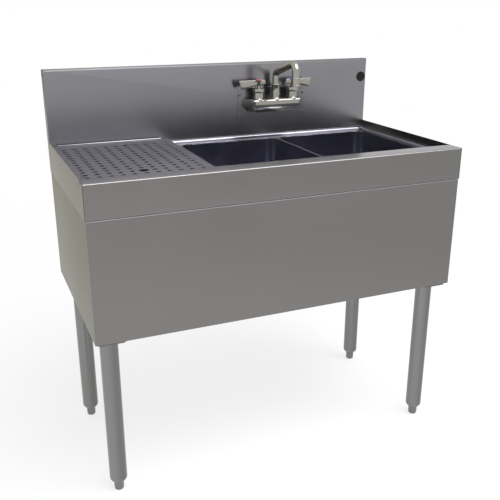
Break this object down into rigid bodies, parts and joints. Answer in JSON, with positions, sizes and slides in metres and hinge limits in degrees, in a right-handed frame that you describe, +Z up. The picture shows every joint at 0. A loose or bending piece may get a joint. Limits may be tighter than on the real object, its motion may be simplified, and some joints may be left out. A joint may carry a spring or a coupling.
{
  "type": "underbar sink",
  "caption": "Freestanding stainless underbar sink with perforated drainboard, bowls, backsplash, splash-mounted tap and levelling legs.",
  "frame": {"origin": "on the floor, under the middle of the unit's width and depth", "axes": "+X towards the right end seen from the front, +Y towards the wall, +Z up"},
  "size_m": [0.9144, 0.475, 0.953],
  "materials": {
    "stainless_sheet": "satin stainless sheet",
    "stainless_bowl": "satin drawn stainless",
    "insert_steel": "satin stainless",
    "leg_steel": "satin stainless tube",
    "leg_mount_steel": "plain mill steel plate",
    "foot_steel": "turned stainless",
    "drain_metal": "plated",
    "tap_chrome": "polished chrome",
    "screw_steel": "bright screw",
    "brass": "machined brass",
    "gasket_rubber": "matt rubber",
    "black_plastic": "black moulded plastic",
    "red_plastic": "red index",
    "blue_plastic": "blue index"
  },
  "bodies": {
    "sink_frame": {"deck": "stainless_sheet", "front_apron": "stainless_sheet", "backsplash": "stainless_sheet", "end_plate_left": "stainless_sheet", "end_plate_right": "stainless_sheet", "rear_rail": "stainless_sheet", "bowl_left": "stainless_bowl", "drain_left": "drain_metal", "drain_gasket_left": "gasket_rubber", "drain_left_locknut": "drain_metal", "bowl_right": "stainless_bowl", "drain_right": "drain_metal", "drain_gasket_right": "gasket_rubber", "drain_right_locknut": "drain_metal", "drainboard_pan": "stainless_bowl", "pan_drain": "drain_metal", "pan_drain_gasket": "gasket_rubber", "pan_drain_locknut": "drain_metal", "front_skirt": "stainless_sheet", "skirt_left": "stainless_sheet", "skirt_right": "stainless_sheet", "rear_stretcher": "stainless_sheet", "leg_set_screws": "screw_steel", "tap_access_panel": "stainless_sheet", "panel_screws": "screw_steel", "splash_plug": "black_plastic", "tap_body": "tap_chrome", "supply_shank_hot": "brass", "supply_shank_cold": "brass", "shank_locknuts": "brass", "bonnet_hot": "tap_chrome", "bonnet_cold": "tap_chrome", "spout_nut": "tap_chrome", "leg_mount_front_left": "leg_mount_steel", "leg_front_left": "leg_steel", "leg_collar_front_left": "leg_steel", "leg_mount_front_right": "leg_mount_steel", "leg_front_right": "leg_steel", "leg_collar_front_right": "leg_steel", "leg_mount_rear_left": "leg_mount_steel", "leg_rear_left": "leg_steel", "leg_collar_rear_left": "leg_steel", "leg_mount_rear_right": "leg_mount_steel", "leg_rear_right": "leg_steel", "leg_collar_rear_right": "leg_steel"},
    "foot_front_left": {"foot_front_left": "foot_steel"},
    "foot_front_right": {"foot_front_right": "foot_steel"},
    "foot_rear_left": {"foot_rear_left": "foot_steel"},
    "foot_rear_right": {"foot_rear_right": "foot_steel"},
    "drainboard_insert": {"drainboard_insert": "insert_steel"},
    "strainer_left": {"strainer_left": "insert_steel"},
    "strainer_right": {"strainer_right": "insert_steel"},
    "handle_hot": {"handle_hot": "tap_chrome", "valve_stem_hot": "brass", "index_cap_hot": "red_plastic"},
    "handle_cold": {"handle_cold": "tap_chrome", "valve_stem_cold": "brass", "index_cap_cold": "blue_plastic"},
    "spout": {"spout": "tap_chrome", "aerator": "tap_chrome"}
  },
  "joints": [
    {"name": "foot_front_left_level", "type": "slide", "parent": "sink_frame", "child": "foot_front_left", "axis": [0, 0, -1], "range_m": [-0.01, 0.015]},
    {"name": "foot_front_right_level", "type": "slide", "parent": "sink_frame", "child": "foot_front_right", "axis": [0, 0, -1], "range_m": [-0.01, 0.015]},
    {"name": "foot_rear_left_level", "type": "slide", "parent": "sink_frame", "child": "foot_rear_left", "axis": [0, 0, -1], "range_m": [-0.01, 0.015]},
    {"name": "foot_rear_right_level", "type": "slide", "parent": "sink_frame", "child": "foot_rear_right", "axis": [0, 0, -1], "range_m": [-0.01, 0.015]},
    {"name": "insert_lift", "type": "slide", "parent": "sink_frame", "child": "drainboard_insert", "axis": [0, 0, 1], "range_m": [0, 0.24]},
    {"name": "strainer_left_lift", "type": "slide", "parent": "sink_frame", "child": "strainer_left", "axis": [0, 0, 1], "range_m": [0, 0.3]},
    {"name": "strainer_right_lift", "type": "slide", "parent": "sink_frame", "child": "strainer_right", "axis": [0, 0, 1], "range_m": [0, 0.3]},
    {"name": "handle_hot_turn", "type": "hinge", "parent": "sink_frame", "child": "handle_hot", "pos_m": [0.1044, 0.1893, 0.86], "axis": [0, 0, 1], "range_deg": [0, 90]},
    {"name": "handle_cold_turn", "type": "hinge", "parent": "sink_frame", "child": "handle_cold", "pos_m": [0.206, 0.1893, 0.86], "axis": [0, 0, 1], "range_deg": [-90, 0]},
    {"name": "spout_swing", "type": "hinge", "parent": "sink_frame", "child": "spout", "pos_m": [0.1552, 0.1893, 0.87], "axis": [0, 0, 1], "range_deg": [-85, 85]}
  ]
}
